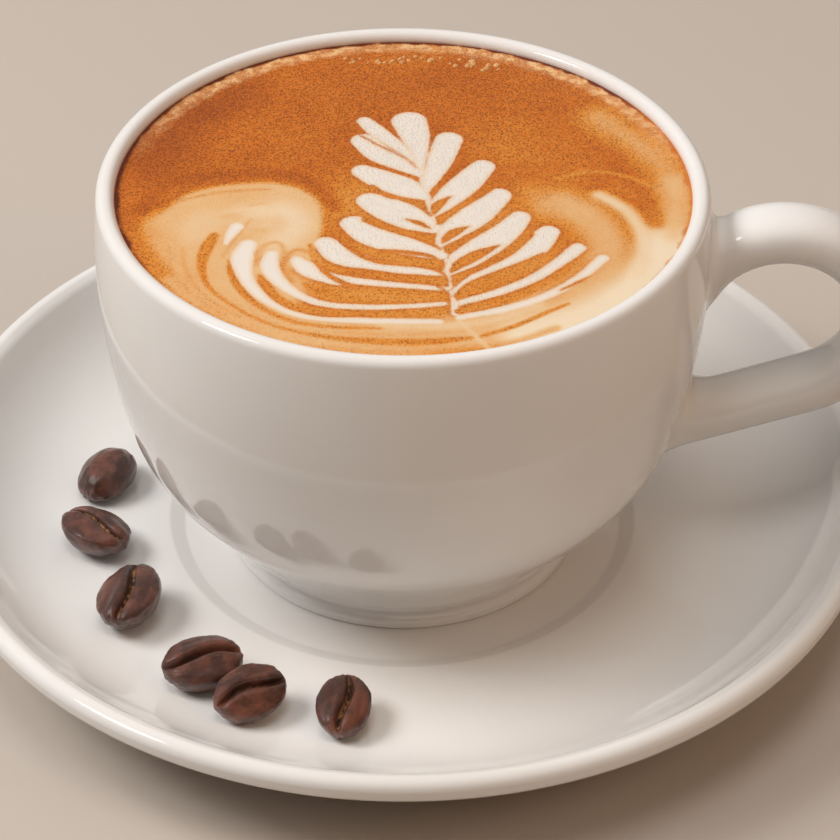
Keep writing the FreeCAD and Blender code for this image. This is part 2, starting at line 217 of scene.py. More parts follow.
# saucer, in mm; heights above the table
saucer = {
    "radius": 74.3, "edgeHeight": 19.0, "edgeThickness": 4.0, "edgeRound": 1.6,
    "creaseRadius": 70.9, "creaseHeight": 17.2, "creaseRound": 3.0,
    "floorRadius": 49.5, "floorHeight": 5.5, "thickness": 3.6,
    "footRadius": 42.0, "footWidth": 4.5, "footRound": 0.9, "recess": 1.4,
    "recessRound": 0.6, "footInnerRound": 0.5,
    "wellRadius": 37.4, "wellSlope": 2.4, "wellHeight": 4.6, "wellRound": 1.6,
    "steps": 240,
}


def saucerOutline():
    s = saucer
    rise = s["creaseHeight"] - s["floorHeight"]
    run = s["creaseRadius"] - s["floorRadius"]
    sweep = (run ** 2 + rise ** 2) / (2 * rise)
    middle = (s["floorRadius"], s["floorHeight"] + sweep)
    endAngle = math.degrees(math.atan2(s["creaseHeight"] - middle[1], run))
    edgeTop = (s["radius"], s["edgeHeight"])
    edgeLow = (s["radius"], s["edgeHeight"] - s["edgeThickness"])
    crease = (s["creaseRadius"], s["creaseHeight"])
    under = sweep + s["thickness"]
    reach = math.dist(middle, edgeLow)
    towards = math.atan2(edgeLow[1] - middle[1], edgeLow[0] - middle[0])
    leaves = math.degrees(towards - math.acos(under / reach))
    bottom = s["floorHeight"] - s["thickness"]
    foot, low, high = s["footRadius"], s["recess"], s["floorHeight"]
    inner = foot - s["footWidth"]
    well, wellTop = s["wellRadius"], s["wellHeight"]
    wellEnd = (well - s["wellSlope"], wellTop)
    leave = arc(middle, under, leaves, leaves, 1)[0]
    sideEnd = arc(middle, sweep, endAngle - 8, endAngle - 8, 1)[0]
    outline = [(0, low), (inner - 2, low)]
    outline += softCorner((0, low), (inner, low), (inner, 0), s["recessRound"], 4)
    outline += softCorner((inner, low), (inner, 0), (foot, 0), s["footInnerRound"], 5)
    outline += softCorner((inner, 0), (foot, 0), (foot, bottom), s["footRound"], 6)
    outline += arc(middle, under, -88, leaves, 22)
    outline += softCorner(leave, edgeLow, edgeTop, s["edgeRound"], 9)
    outline += softCorner(edgeLow, edgeTop, crease, s["edgeRound"], 9)
    outline += softCorner(edgeTop, crease, sideEnd, s["creaseRound"], 10)
    outline += arc(middle, sweep, endAngle - 9, -90, 24)
    outline += softCorner((s["floorRadius"], high), (well, high), wellEnd, s["wellRound"], 7)
    outline += softCorner((well, high), wellEnd, (0, wellTop), s["wellRound"], 7)
    outline += [(well * share, wellTop) for share in (0.8, 0.6, 0.4, 0.2, 0)]
    return outline


saucerPiece = turnedSolid("glazedSaucer", saucerOutline(), porcelainFinish, saucer["steps"])
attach(saucerPiece, "root")
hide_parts("saucer")
print("saucer turned")

# cup, in mm; its own heights are above the saucer's well
cup = {
    "stands": saucer["wellHeight"], "height": 63.8, "bellyRadius": 45.9, "bellyHeight": 50.9,
    "sideCurve": 103.0, "turnCurve": 25.0, "underAngle": 52.0, "wall": 2.8, "rimRound": 1.3,
    "footRadius": 28.2, "footHeight": 1.5, "footWidth": 3.2, "footRecess": 1.6, "footRound": 0.5,
    "recessRound": 0.5, "footInnerRound": 0.4,
    "waistRadius": 27.2, "waistHeight": 2.6, "floorRadius": 20.0, "floorHeight": 5.2,
    "steps": 240,
}


def wallOutline(inset, start, top):
    # a straight underside, the turn and the long side, up to the height top
    lean = math.radians(cup["underAngle"])
    direction = Vector((math.cos(lean), math.sin(lean)))
    sideMiddle = Vector((cup["bellyRadius"] - cup["sideCurve"], cup["bellyHeight"]))
    side, turn = cup["sideCurve"] - inset, cup["turnCurve"] - inset
    base = Vector(start) + Vector((-direction.y, direction.x)) * turn
    gap = base - sideMiddle
    along = gap.dot(direction)
    travel = -along + math.sqrt(along ** 2 - gap.length_squared + (side - turn) ** 2)
    turnMiddle = base + direction * travel
    high = turnMiddle - sideMiddle
    meets = math.degrees(math.atan2(high.y, high.x))
    leaves = cup["underAngle"] - 90
    rimAngle = math.degrees(math.asin((top - sideMiddle.y) / side))
    low = Vector(start) + direction * travel
    line = [tuple(Vector(start).lerp(low, k / 5)) for k in range(5)]
    line += arc(turnMiddle, turn, leaves, meets, 18)[:-1]
    return line + arc(sideMiddle, side, meets, rimAngle, 26)


def cupOutline():
    c = cup
    foot, high, recess, top = c["footRadius"], c["footHeight"], c["footRecess"], c["height"]
    inner = foot - c["footWidth"]
    waist = (c["waistRadius"], c["waistHeight"])
    outside = wallOutline(0, waist, top)
    inside = wallOutline(c["wall"], (c["floorRadius"], c["floorHeight"]), top)
    outline = [(0, recess), (inner - 1, recess)]
    outline += softCorner((0, recess), (inner, recess), (inner, 0), c["recessRound"], 4)
    outline += softCorner((inner, recess), (inner, 0), (foot, 0), c["footInnerRound"], 4)
    outline += softCorner((inner, 0), (foot, 0), (foot, high), c["footRound"], 5)
    outline += softCorner((foot, 0), (foot, high), waist, c["footRound"], 5)
    outline += outside[:-1]
    outline += softCorner(outside[-3], outside[-1], inside[-1], c["rimRound"], 9)
    outline += softCorner(outside[-1], inside[-1], inside[-3], c["rimRound"], 9)
    outline += inside[-3::-1] + [(c["floorRadius"] / 2, c["floorHeight"]), (0, c["floorHeight"])]
    return [(r, z + c["stands"]) for r, z in outline if z <= top]


def clearOfRim(outline):
    # drops points that the rim's rounding has passed
    kept = [outline[0]]
    for point in outline[1:]:
        if math.dist(point, kept[-1]) > 0.02:
            kept.append(point)
    return kept


cupPiece = turnedSolid("glazedCup", clearOfRim(cupOutline()), porcelainFinish, cup["steps"])
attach(cupPiece, "root")
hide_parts("cup")
print("cup turned")

# handle, in mm; a bar bent round a circle in the XZ plane, whose ends run out over the cup's side
handle = {
    "middle": (57.2, 47.8), "bend": 14.1, "firstAngle": 150.0, "lastAngle": -68.0, "runIn": 34.0,
    "width": 10.2, "thickness": 7.7, "squareness": 2.5, "sides": 64, "bendSteps": 40,
    "upperFlare": 3.6, "lowerFlare": 8.0, "flareSteps": 14, "sunk": 0.03,
}


def cupSide():
    outline = [(r, z + cup["stands"])
               for r, z in wallOutline(0, (cup["waistRadius"], cup["waistHeight"]), cup["height"])]
    radii, heights = zip(*outline)
    return lambda z: float(np.interp(z, heights, radii))


def barRing(centre, along):
    # a ring of the bar's section about centre, square to the direction along
    across = Vector((0, 1, 0))
    out = along.cross(across)
    power = 2 / handle["squareness"]
    ring = []
    for k in range(handle["sides"]):
        a = 2 * math.pi * k / handle["sides"]
        c, s = math.cos(a), math.sin(a)
        wide = math.copysign(abs(c) ** power, c) * handle["width"] / 2
        thick = math.copysign(abs(s) ** power, s) * handle["thickness"] / 2
        ring.append(centre + across * wide + out * thick)
    return ring


def wallMeet(line, sideAt):
    # the length along a line of points at which it goes in through the cup's side
    gaps = [math.hypot(p.x, p.y) - sideAt(p.z) for p in line]
    travelled = 0.0
    for a, b, gapA, gapB in zip(line, line[1:], gaps, gaps[1:]):
        if gapB < 0:
            return travelled + (b - a).length * gapA / (gapA - gapB)
        travelled += (b - a).length
    return travelled


def pointAlong(line, length):
    for a, b in zip(line, line[1:]):
        step = (b - a).length
        if length <= step:
            return a.lerp(b, length / step)
        length -= step
    return line[-1]


def flareRings(lines, lengths, sideAt, flare):
    # each line of the bar leaves its way in and runs out over the cup's side
    meets = [pointAlong(line, length) for line, length in zip(lines, lengths)]
    starts = [pointAlong(line, length - flare) for line, length in zip(lines, lengths)]
    middle = sum(meets, Vector()) / len(meets)
    rings = [[] for _ in range(handle["flareSteps"] + 1)]
    for k, (start, meet) in enumerate(zip(starts, meets)):
        slope = sideAt(meet.z + 0.5) - sideAt(meet.z - 0.5)
        normal = (Vector((meet.x, meet.y, 0)).normalized() - Vector((0, 0, slope))).normalized()
        away = normal.cross(meets[(k + 1) % len(meets)] - meets[k - 1]).normalized()
        away *= math.copysign(1, away.dot(meet - middle))
        end = meet + away * flare
        flat = Vector((end.x, end.y, 0)).normalized()
        end = flat * (sideAt(end.z) - handle["sunk"]) + Vector((0, 0, end.z))
        for step, ring in enumerate(rings):
            t = step / handle["flareSteps"]
            ring.append(start * (1 - t) ** 2 + meet * 2 * t * (1 - t) + end * t ** 2)
    return rings


def bentBar():
    # the bar's rings round the bend, with a straight run in to the cup at each end
    middle = Vector((handle["middle"][0], 0, handle["middle"][1]))
    first, last = handle["firstAngle"], handle["lastAngle"]
    bar = []
    for k in range(handle["bendSteps"] + 1):
        a = math.radians(first + (last - first) * k / handle["bendSteps"])
        outwards = Vector((math.cos(a), 0, math.sin(a)))
        along = Vector((math.sin(a), 0, -math.cos(a)))
        bar.append(barRing(middle + outwards * handle["bend"], along))
    a, b = math.radians(first), math.radians(last)
    upper = Vector((-math.sin(a), 0, math.cos(a))) * handle["runIn"]
    lower = Vector((math.sin(b), 0, -math.cos(b))) * handle["runIn"]
    return [[p + upper for p in bar[0]], *bar, [p + lower for p in bar[-1]]]


def limbRings(rings, sideAt, flare):
    # from the middle of the bend to the cup's side, along each line of the bar
    lines = [[ring[k] for ring in rings] for k in range(handle["sides"])]
    lengths = [wallMeet(line, sideAt) for line in lines]
    limb = []
    for step in range(handle["bendSteps"]):
        share = step / handle["bendSteps"]
        limb.append([pointAlong(line, (length - flare) * share)
                     for line, length in zip(lines, lengths)])
    return limb + flareRings(lines, lengths, sideAt, flare)


def handleRings():
    bar = bentBar()
    half = len(bar) // 2
    sideAt = cupSide()
    upper = limbRings(bar[half::-1], sideAt, handle["upperFlare"])
    lower = limbRings(bar[half:], sideAt, handle["lowerFlare"])
    return upper[::-1] + lower[1:]


def makeHandle():
    rings = handleRings()
    bm = bmesh.new()
    loop = bmesh.ops.create_circle(bm, segments=handle["sides"], radius=1.0)["verts"]
    for vert, spot in zip(loop, rings[0]):
        vert.co = spot * mm
    edges = list(bm.edges)
    for ring in rings[1:]:
        grown = bmesh.ops.extrude_edge_only(bm, edges=edges)["geom"]
        edges = [g for g in grown if isinstance(g, bmesh.types.BMEdge)]
        order = {}
        for vert in [g for g in grown if isinstance(g, bmesh.types.BMVert)]:
            old = next(e.other_vert(vert) for e in vert.link_edges if e.other_vert(vert) in loop)
            order[loop.index(old)] = vert
        loop = [order[k] for k in range(len(loop))]
        for vert, spot in zip(loop, ring):
            vert.co = spot * mm
    bmesh.ops.holes_fill(bm, edges=[e for e in bm.edges if e.is_boundary], sides=0)
    bmesh.ops.recalc_face_normals(bm, faces=bm.faces)
    return asPiece("loopHandle", bm, porcelainFinish)


handlePiece = makeHandle()
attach(handlePiece, "root")
print("handle bent")

# the leaf drawn in milk: each stroke is a row of (x, y, half width) in mm, with y away from
# the drinker; a petal runs from the stem to its tip
leaf = {
    "turn": 4.0,      # degrees, of the whole drawing about the cup's middle
    "fuller": 0.22,   # mm added to each side of a petal
    "stem": [(2.6, 6.0, 0.5), (3.1, 0.0, 0.55), (4.1, -6.5, 0.4), (5.2, -13.5, 0.25),
             (6.2, -20.0, 0.25), (6.8, -26.5, 0.3), (7.3, -31.4, 0.7)],
    "petals": [
        [(2.5, 6.0, 0.5), (2.3, 10.0, 1.15), (1.7, 14.5, 2.1), (0.8, 18.6, 2.55)],
        [(2.0, 7.2, 0.35), (-0.4, 11.0, 0.85), (-3.7, 15.2, 1.3), (-6.0, 18.6, 1.05)],
        [(2.6, 3.6, 0.5), (0.2, 6.1, 1.4), (-3.6, 9.4, 2.0), (-6.1, 13.0, 1.75)],
        [(3.0, -2.2, 0.8), (0.2, 0.2, 2.2), (-3.2, 2.4, 2.2), (-6.1, 4.6, 1.5)],
        [(4.2, -10.4, 1.2), (0.8, -7.8, 2.6), (-2.4, -5.4, 2.6), (-4.9, -3.4, 1.9)],
        [(5.4, -17.4, 0.8), (2.4, -16.0, 1.6), (-1.0, -14.4, 2.1), (-4.6, -12.2, 2.4),
         (-7.2, -9.4, 1.8)],
        [(5.8, -21.8, 0.5), (0.0, -20.9, 0.8), (-5.0, -19.4, 1.4), (-8.9, -17.4, 2.0),
         (-11.1, -14.5, 1.5)],
        [(6.2, -25.6, 0.3), (0.0, -24.9, 0.5), (-6.0, -24.2, 0.9), (-10.6, -23.0, 1.1),
         (-13.6, -20.8, 1.4), (-15.1, -18.7, 0.8)],
        [(5.6, -29.2, 0.3), (-2.0, -30.0, 0.4), (-10.0, -29.6, 0.45), (-14.6, -27.2, 0.6),
         (-17.8, -23.2, 1.0), (-18.9, -20.0, 1.2), (-18.7, -17.2, 0.8)],
        [(5.0, -33.4, 0.4), (-6.0, -33.2, 0.5), (-14.0, -32.0, 0.5), (-19.2, -28.2, 0.7),
         (-22.0, -23.4, 0.9), (-22.9, -18.4, 1.45), (-22.2, -14.8, 1.1)],
        [(-25.4, -14.6, 0.2), (-24.7, -12.0, 0.7), (-24.0, -10.3, 0.9)],
        [(3.3, -0.5, 0.5), (4.2, 3.0, 1.2), (5.4, 7.5, 1.8), (6.8, 13.4, 2.0)],
        [(4.2, -7.0, 0.5), (6.2, -3.2, 1.8), (9.0, 1.1, 2.2), (11.8, 5.9, 1.7)],
        [(5.2, -14.6, 0.5), (7.2, -11.0, 1.9), (10.6, -6.9, 2.3), (13.9, -1.9, 1.8)],
        [(6.3, -21.8, 0.5), (9.0, -17.8, 2.2), (12.8, -13.3, 2.5), (15.5, -10.0, 1.9),
         (16.9, -7.6, 1.45)],
        [(7.0, -26.4, 0.4), (10.5, -22.7, 0.9), (14.7, -19.2, 1.3), (18.6, -15.3, 1.9),
         (20.9, -11.4, 1.5)],
        [(7.3, -29.2, 0.4), (13.0, -26.5, 0.6), (18.0, -23.2, 0.7), (22.0, -19.2, 0.9),
         (25.0, -15.3, 1.0)],
        [(7.8, -32.4, 0.4), (14.0, -30.4, 0.6), (20.0, -27.2, 0.6), (24.6, -23.0, 0.6),
         (28.4, -17.9, 0.7)],
    ],
    # crema left between the petals
    "stripes": [
        [(-7.6, 15.6, 0.12), (-4.0, 12.0, 0.16), (0.0, 8.4, 0.12), (1.9, 5.6, 0.05)],
        [(4.0, -7.4, 0.15), (2.6, -5.0, 0.4), (0.0, -2.9, 0.45), (-2.4, -2.0, 0.45),
         (-4.6, 0.4, 0.5)],
        [(0.4, -8.2, 0.1), (2.2, -9.1, 0.5), (3.9, -10.6, 0.12)],
        [(5.3, -15.9, 0.15), (3.0, -13.2, 0.5), (0.3, -11.9, 0.6), (-2.4, -10.6, 0.5),
         (-5.6, -8.4, 0.5)],
        [(-3.0, -16.0, 0.15), (0.0, -16.6, 0.45), (3.6, -17.4, 0.35), (5.8, -19.6, 0.12)],
        [(6.4, -24.0, 0.12), (5.2, -21.4, 0.3), (2.6, -20.0, 0.5), (0.0, -19.4, 0.7),
         (-3.6, -18.9, 0.5), (-6.8, -16.6, 0.45), (-9.4, -12.9, 0.5)],
        [(6.3, -26.7, 0.15), (3.8, -23.9, 0.35), (0.0, -22.8, 0.6), (-4.8, -21.9, 1.0),
         (-8.6, -20.6, 0.3)],
        [(5.8, -28.2, 0.2), (3.2, -26.9, 0.9), (0.0, -26.5, 1.0), (-3.4, -25.9, 0.8),
         (-7.7, -24.7, 0.5), (-10.9, -21.8, 0.4), (-12.7, -18.2, 0.35), (-13.4, -14.9, 0.3)],
        [(3.0, -28.9, 0.1), (-2.0, -28.8, 0.3), (-6.0, -28.6, 0.6), (-9.4, -27.5, 0.9),
         (-12.4, -25.8, 0.8), (-14.0, -24.2, 0.2)],
        [(5.2, -31.7, 0.3), (3.4, -31.3, 1.0), (0.0, -31.4, 1.0), (-5.0, -31.7, 0.7),
         (-10.6, -31.7, 0.7), (-14.7, -30.3, 0.8), (-17.6, -27.8, 0.8), (-19.4, -24.6, 0.75),
         (-20.3, -22.4, 0.25)],
        [(-3.0, -35.0, 0.2), (-9.0, -34.8, 0.35), (-14.6, -33.7, 0.4), (-18.7, -31.1, 0.45),
         (-21.5, -28.0, 0.6), (-23.4, -24.6, 0.6), (-24.4, -21.4, 0.45), (-24.8, -18.8, 0.15)],
        [(9.3, -37.1, 0.35), (5.0, -37.9, 0.7), (0.0, -38.2, 0.8), (-6.0, -37.8, 0.65),
         (-12.0, -36.6, 0.45), (-17.0, -34.8, 0.3), (-21.0, -32.2, 0.3), (-24.4, -29.0, 0.3),
         (-26.9, -25.8, 0.35), (-28.2, -22.3, 0.5), (-28.5, -19.0, 0.8), (-28.0, -15.5, 1.0),
         (-27.2, -12.6, 0.75)],
        [(4.4, -7.1, 0.1), (4.8, -4.9, 0.8), (5.7, -3.5, 0.6), (7.0, -2.1, 0.05)],
        [(4.2, -0.2, 0.15), (6.2, 2.2, 0.3), (8.2, 5.6, 0.5), (9.6, 8.6, 0.8)],
        [(4.9, -9.4, 0.15), (7.5, -6.1, 0.3), (10.7, -2.6, 0.35), (14.2, 1.6, 0.5)],
        [(5.6, -14.3, 0.15), (6.4, -12.7, 0.7), (7.6, -11.3, 0.75), (9.5, -9.9, 0.05)],
        [(6.6, -16.8, 0.15), (9.5, -13.2, 0.3), (13.4, -8.9, 0.4), (16.2, -4.9, 0.6)],
        [(6.8, -21.4, 0.3), (8.2, -19.3, 0.95), (10.5, -17.2, 1.0), (12.1, -15.9, 0.6),
         (13.8, -14.7, 0.05)],
        [(8.0, -23.0, 0.2), (11.5, -20.2, 0.35), (15.3, -16.6, 0.45), (18.2, -11.9, 0.7)],
        [(7.6, -27.4, 0.6), (9.8, -25.0, 1.2), (13.6, -22.5, 1.4), (17.2, -19.8, 1.1),
         (20.0, -16.6, 0.1)],
        [(7.7, -31.0, 0.6), (11.5, -29.6, 0.8), (15.5, -27.3, 0.9), (19.6, -24.2, 0.85),
         (22.7, -21.0, 0.8), (24.6, -18.0, 0.15)],
        [(10.8, -36.7, 0.35), (15.3, -34.4, 0.45), (19.5, -31.4, 0.4), (23.0, -29.0, 0.25)],
        [(22.0, -25.8, 0.15), (24.4, -24.0, 0.3), (26.3, -22.3, 0.1)],
    ],
    "stripeTone": 0.46,
    "steps": 12, "washSteps": 10, "plainTone": 0.30, "thinnest": 0.02,
}

farOut = -9.0   # mm, for a point with no stroke near it

# soft washes of milk and of darker crema, laid one over the other:
# (points in mm, half width, softness, tone, how strong)
washes = [
    ([(-38.0, 6.0), (-34.0, 17.0), (-26.0, 27.0)], 4.5, 5.0, 0.10, 0.8),
    ([(-6.0, 30.0), (6.0, 30.0), (16.0, 27.0)], 3.0, 5.0, 0.24, 0.6),
    ([(14.0, 12.0), (22.0, 4.0), (24.0, -6.0)], 4.0, 6.0, 0.42, 0.8),
    ([(-3.0, -4.0), (0.0, -14.0), (6.0, -22.0), (4.0, -30.0)], 9.0, 6.0, 0.47, 0.9),
    ([(10.0, -6.0), (15.0, -14.0), (18.0, -20.0)], 6.0, 5.0, 0.48, 0.9),
    ([(-14.0, -20.0), (-10.0, -27.0), (0.0, -30.0)], 4.0, 3.0, 0.50, 0.9),
    ([(30.0, 20.0), (37.0, 10.0), (41.0, -4.0), (38.0, -16.0)], 2.8, 3.2, 0.62, 0.9),
    ([(-38.2, -6.0), (-34.6, 0.6), (-27.0, 3.4), (-18.6, 3.9), (-13.2, 1.0), (-10.0, -5.0)],
      1.0, 1.3, 0.15, 0.7),
    ([(-31.5, -9.0), (-29.3, -5.0), (-25.0, -3.0), (-19.6, -2.6), (-16.4, -4.6), (-15.6, -9.0),
      (-16.0, -14.0)], 3.9, 0.8, 0.71, 1.0),
    ([(-33.4, -10.0), (-32.4, -17.0), (-28.5, -24.5), (-21.0, -31.0), (-12.0, -35.4), (0.0, -36.8),
      (12.0, -35.0), (20.0, -30.0)], 4.0, 1.8, 0.70, 1.0),
    ([(-29.0, -12.5), (-23.0, -13.5), (-18.6, -15.5), (-15.4, -18.0)], 3.0, 1.2, 0.72, 1.0),
    ([(-27.0, -17.0), (-22.0, -22.0), (-17.5, -26.0)], 4.4, 2.0, 0.72, 1.0),
    ([(-22.0, -7.5), (-18.0, -6.6), (-15.8, -9.5), (-17.0, -13.4)], 2.6, 2.4, 0.88, 0.9),
    ([(-30.0, -13.0), (-29.6, -8.6), (-25.0, -6.4)], 1.6, 2.0, 0.80, 0.6),
    ([(-28.0, -9.0), (-24.0, -9.6), (-19.0, -9.6)], 2.0, 1.6, 0.76, 1.0),
    ([(-36.4, -12.0), (-33.6, -19.0), (-28.0, -27.0), (-20.0, -33.6), (-10.0, -38.0), (2.0, -39.4)],
      2.4, 1.4, 0.66, 0.9),
    ([(-35.6, -6.2), (-33.0, -3.9), (-29.9, -2.3), (-26.6, -1.2), (-23.3, -0.7), (-19.8, -0.4)],
      0.25, 0.4, 0.50, 0.7),
    ([(-22.4, -4.8), (-20.3, -4.1)], 0.2, 0.5, 0.58, 0.5),
    ([(-22.1, -8.4), (-23.4, -11.4), (-24.6, -14.7), (-25.7, -18.0)], 0.2, 0.4, 0.60, 0.8),
    ([(-20.9, -20.0), (-20.6, -16.6), (-19.4, -14.6), (-17.8, -14.4), (-17.0, -16.4),
      (-17.0, -20.0), (-15.6, -24.0)], 0.3, 0.5, 0.52, 0.7),
    ([(-17.0, -20.0), (-16.2, -17.2), (-15.0, -16.0), (-13.7, -16.6)], 0.3, 0.5, 0.46, 0.8),
    ([(-31.5, -16.0), (-31.0, -20.0), (-29.4, -24.5), (-26.5, -28.8), (-22.6, -32.4)],
      0.2, 0.4, 0.52, 0.6),
    ([(-33.5, -16.0), (-32.4, -22.0), (-29.4, -27.3), (-24.6, -32.0)], 0.2, 0.5, 0.54, 0.5),
    ([(-36.8, -9.0), (-35.5, -16.0), (-31.4, -24.6), (-25.0, -31.6)], 0.6, 1.4, 0.56, 0.5),
    ([(-39.4, -8.0), (-37.4, -15.5), (-34.0, -22.0)], 1.2, 1.2, 0.34, 0.7),
    ([(23.0, -4.0), (27.0, -8.0), (29.0, -14.0), (28.0, -21.0), (23.0, -27.5)],
      3.4, 2.8, 0.68, 1.0),
    ([(19.0, -1.0), (21.0, -5.0)], 1.6, 3.0, 0.56, 0.8),
    ([(38.0, -13.0), (35.5, -20.0), (31.0, -26.6), (25.0, -32.0), (17.0, -37.0)],
      3.4, 2.4, 0.97, 1.0),
    ([(40.0, 2.0), (39.5, -6.0), (38.8, -12.0)], 1.6, 2.2, 0.74, 0.9),
    ([(28.8, -1.7), (32.2, -5.2), (34.2, -10.5), (34.6, -16.2), (33.0, -22.0)],
      1.2, 1.0, 0.90, 0.9),
    ([(27.4, -1.8), (30.0, -4.6), (32.0, -8.8), (32.6, -13.0)], 0.25, 0.5, 0.50, 0.6),
    ([(31.5, 0.8), (35.4, -3.4), (36.8, -9.0)], 1.0, 1.2, 0.36, 0.8),
    ([(22.6, 2.6), (27.0, 4.6), (32.0, 4.0), (36.4, 1.0), (39.4, -3.0)], 0.3, 0.6, 0.62, 0.7),
    ([(-3.0, -34.2), (6.0, -34.4), (13.0, -32.6), (19.0, -29.4)], 0.7, 0.8, 0.84, 0.7),
    ([(-12.0, -35.6), (-2.0, -36.4), (8.0, -35.8)], 0.25, 0.4, 0.58, 0.5),
    ([(-14.0, -38.8), (-7.0, -40.1), (0.0, -40.5), (6.0, -40.2), (10.0, -39.4)],
      0.4, 0.7, 0.55, 0.7),
    ([(13.0, -39.2), (17.2, -37.0), (21.0, -34.8)], 0.7, 0.7, 0.58, 0.8),
    ([(7.6, -32.6), (9.2, -35.6), (11.6, -39.4)], 0.35, 0.4, 0.82, 0.9),
]


def through(points, steps):
    # a smooth line through given points; every number in a point is carried along
    knots = [np.array(p, float) for p in points]
    knots = [2 * knots[0] - knots[1], *knots, 2 * knots[-1] - knots[-2]]
    line = []
    for a, b, c, d in zip(knots, knots[1:], knots[2:], knots[3:]):
        for t in np.linspace(0, 1, steps, endpoint=False):
            line.append(0.5 * (2 * b + (c - a) * t + (2 * a - 5 * b + 4 * c - d) * t ** 2
                               + (3 * b - a - 3 * c + d) * t ** 3))
    return np.array([*line, knots[-2]])


def inside(x, y, line, halfWidths):
    # how far each point lies inside a stroke of changing width, in mm; negative outside
    best = np.full(x.shape, -99.0)   # further out than the cup is wide
    for (ax, ay), (bx, by), wa, wb in zip(line, line[1:], halfWidths, halfWidths[1:]):
        dx, dy = bx - ax, by - ay
        t = np.clip(((x - ax) * dx + (y - ay) * dy) / max(dx * dx + dy * dy, 1e-9), 0, 1)
        gap = np.hypot(x - ax - t * dx, y - ay - t * dy)
        best = np.maximum(best, wa + (wb - wa) * t - gap)
    return best


def stroke(x, y, points):
    line = through(points, leaf["steps"])
    return inside(x, y, line[:, :2], np.maximum(line[:, 2], leaf["thinnest"]))


def paintLeaf(x, y):
    # how deep each point lies in the milk, and in a stripe of crema, in mm
    milk = stroke(x, y, leaf["stem"])
    for petal in leaf["petals"]:
        milk = np.maximum(milk, stroke(x, y, petal) + leaf["fuller"])
    crema = np.full(x.shape, farOut)
    for stripe in leaf["stripes"]:
        crema = np.maximum(crema, stroke(x, y, stripe))
    return np.minimum(milk, -crema), crema


def paintWashes(x, y):
    # how pale the foam is, from 0 for dark crema to 1 for cream
    tone = np.full(x.shape, leaf["plainTone"])
    for points, half, soft, level, strong in washes:
        line = through(points, leaf["washSteps"])
        depth = inside(x, y, line, np.full(len(line), half))
        share = np.clip((depth + soft) / (2 * soft), 0, 1)
        tone += (level - tone) * strong * share * share * (3 - 2 * share)
    return tone


# the drink, in mm; heights above the table
drink = {
    "level": cup["stands"] + 62.2, "radius": 43.1, "pressed": 0.06, "grid": 272,
    "meniscus": 0.45, "meniscusWidth": 1.1, "ripple": 0.05, "rippleScale": 0.35,
    "deepCrema": (0.31, 0.066, 0.007), "crema": (0.53, 0.135, 0.010),
    "lightCrema": (0.66, 0.25, 0.032), "tan": (0.70, 0.43, 0.20), "cream": (0.76, 0.62, 0.44),
    "milk": (0.75, 0.68, 0.61), "thinMilk": (0.73, 0.58, 0.43), "outline": (0.52, 0.13, 0.012),
    "pinhole": (0.17, 0.035, 0.005), "froth": (0.80, 0.50, 0.24),
    # the first colour below is the crema's wall line darkened as painted shade, the second is the
    # same line where it is lit
    "wallShade": (0.16, 0.026, 0.006), "wallLine": (0.56, 0.15, 0.012),
    # where each shade of foam stands between dark crema and cream
    "shades": [(0.08, "deepCrema"), (0.30, "crema"), (0.48, "lightCrema"), (0.72, "tan"),
               (0.95, "cream")],
    # pinholes, smallest first: cells in a metre, size in a cell, and the share left whole
    "pinholes": [(2600.0, 0.46, 0.42), (1500.0, 0.34, 0.74), (640.0, 0.20, 0.98)],
}


def drinkInside():
    # the cup's inside below the drink's level, from the level down, as (radius, height)
    floor = (cup["floorRadius"], cup["floorHeight"])
    outline = wallOutline(cup["wall"], floor, drink["level"] - cup["stands"])
    return [(r, z + cup["stands"]) for r, z in [*outline[::-5], floor]]


def makeDrink(material):
    bm = bmesh.new()
    bmesh.ops.create_grid(bm, x_segments=drink["grid"], y_segments=drink["grid"], size=1.0)
    radius = drink["radius"] + drink["pressed"]
    fine = drink["rippleScale"]
    for vert in bm.verts:   # the square grid is drawn out to a disc
        u, v = vert.co.x, vert.co.y
        x, y = u * math.sqrt(1 - v * v / 2) * radius, v * math.sqrt(1 - u * u / 2) * radius
        edge = max(0.0, 1 - (radius - math.hypot(x, y)) / drink["meniscusWidth"])
        ripple = drink["ripple"] * noise.noise((x * fine, y * fine, 3.0))
        vert.co = Vector((x, y, drink["level"] + ripple + drink["meniscus"] * edge ** 2)) * mm
    edges = [e for e in bm.edges if e.is_boundary]
    for r, z in drinkInside()[1:]:
        grown = bmesh.ops.extrude_edge_only(bm, edges=edges)["geom"]
        for vert in [g for g in grown if isinstance(g, bmesh.types.BMVert)]:
            flat = Vector((vert.co.x, vert.co.y, 0)).normalized() * (r + drink["pressed"]) * mm
            vert.co = flat + Vector((0, 0, z * mm))
        edges = [g for g in grown if isinstance(g, bmesh.types.BMEdge)]
    bmesh.ops.holes_fill(bm, edges=edges, sides=0)
    bmesh.ops.recalc_face_normals(bm, faces=bm.faces)
    piece = asPiece("foamedLatte", bm, material)
    paintDrink(piece.data)
    return piece


